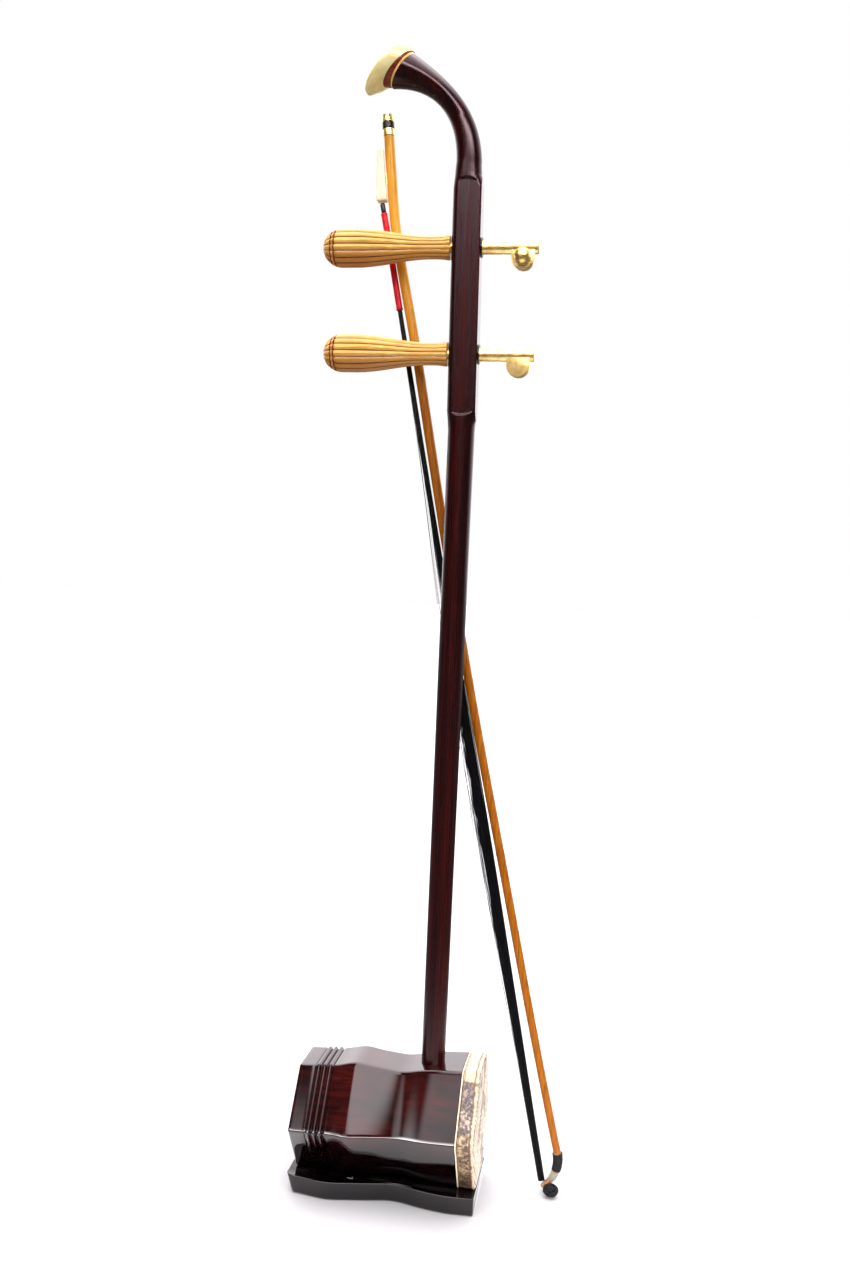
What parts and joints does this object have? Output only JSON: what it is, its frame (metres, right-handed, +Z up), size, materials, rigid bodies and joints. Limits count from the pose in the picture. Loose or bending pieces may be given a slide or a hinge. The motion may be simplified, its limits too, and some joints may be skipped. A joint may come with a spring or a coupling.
{
  "type": "erhu with bow",
  "caption": "Two-string spike fiddle standing on its base: hexagonal skin-faced resonator, round neck with bent head, reeded tuning pegs and a cane bow.",
  "frame": {"origin": "on the floor under the neck's axis, on the flat underside of the base", "axes": "+Z up along the neck, +X the way the snakeskin faces, the peg handles point to -X, +Y the side the bow stands on"},
  "size_m": [0.2056, 0.0958, 0.8355],
  "materials": {
    "rosewood": "satin",
    "lacquer": "gloss",
    "black_lacquer": "gloss",
    "bone": "satin",
    "dark_inlay": "satin",
    "copper_inlay": "satin",
    "boxwood": "satin",
    "brass": "polished",
    "snakeskin": "scaled",
    "hide_edge": "matte",
    "cane": "satin",
    "black_plastic": "satin",
    "horse_hair": "fibrous",
    "red_sleeve": "satin",
    "steel": "brushed",
    "grey_thread": "matte"
  },
  "bodies": {
    "instrument": {"neck": "rosewood", "head_inlay_cream": "bone", "head_inlay_dark": "dark_inlay", "head_cap": "bone", "stave_right_upper": "lacquer", "stave_right_lower": "lacquer", "stave_bottom": "lacquer", "stave_left_lower": "lacquer", "stave_left_upper": "lacquer", "stave_top": "lacquer", "snakeskin": "snakeskin", "skin_edge_band": "hide_edge", "sound_window": "rosewood", "base": "black_lacquer", "base_screw": "steel", "upper_bushing": "black_plastic", "lower_bushing": "black_plastic"},
    "upper_peg": {"upper_handle": "boxwood", "upper_inlay_inner": "dark_inlay", "upper_inlay_copper": "copper_inlay", "upper_inlay_outer": "dark_inlay", "upper_butt": "boxwood", "upper_shaft": "brass"},
    "upper_peg_knob": {"upper_knob": "brass"},
    "lower_peg": {"lower_handle": "boxwood", "lower_inlay_inner": "dark_inlay", "lower_inlay_copper": "copper_inlay", "lower_inlay_outer": "dark_inlay", "lower_butt": "boxwood", "lower_shaft": "brass"},
    "lower_peg_knob": {"lower_knob": "brass"},
    "bow": {"bow_stick": "cane", "bow_ferrule": "brass", "bow_hair": "horse_hair", "bow_tip_binding": "black_plastic", "bow_tip_thread": "grey_thread", "bow_hair_knot": "horse_hair"},
    "bow_button": {"bow_button_ring": "black_plastic", "bow_button_cap": "brass", "bow_screw_rod": "steel"},
    "bow_frog_slider": {"bow_frog": "bone", "bow_frog_nut": "brass", "bow_hair_end": "black_plastic", "bow_sleeve": "red_sleeve"}
  },
  "joints": [
    {"name": "upper_peg_turn", "type": "hinge", "parent": "instrument", "child": "upper_peg", "pos_m": [0, 0, 0.6906], "axis": [1, 0, 0], "continuous": true},
    {"name": "lower_peg_turn", "type": "hinge", "parent": "instrument", "child": "lower_peg", "pos_m": [0, 0, 0.6147], "axis": [1, 0, 0], "continuous": true},
    {"name": "upper_knob_turn", "type": "hinge", "parent": "upper_peg", "child": "upper_peg_knob", "pos_m": [0.039, -0.0041, 0.683], "axis": [0, -1, 0], "range_deg": [0, 720]},
    {"name": "lower_knob_turn", "type": "hinge", "parent": "lower_peg", "child": "lower_peg_knob", "pos_m": [0.039, 0.0041, 0.6071], "axis": [0, 1, 0], "range_deg": [0, 720]},
    {"name": "bow_lift", "type": "slide", "parent": "instrument", "child": "bow", "axis": [0, 0.9397, 0.342], "range_m": [0, 0.15]},
    {"name": "bow_screw_turn", "type": "hinge", "parent": "bow", "child": "bow_button", "pos_m": [-0.06638, 0.018, 0.777], "axis": [-0.1105, 0, 0.9939], "range_deg": [-1080, 1080]},
    {"name": "frog_slide", "type": "slide", "parent": "bow", "child": "bow_frog_slider", "axis": [-0.1105, 0, 0.9939], "range_m": [-0.0021, 0.0021]}
  ],
  "couplings": [
    {"joint": "bow_screw_turn", "follows": "frog_slide", "rad_per_m": 8976}
  ]
}
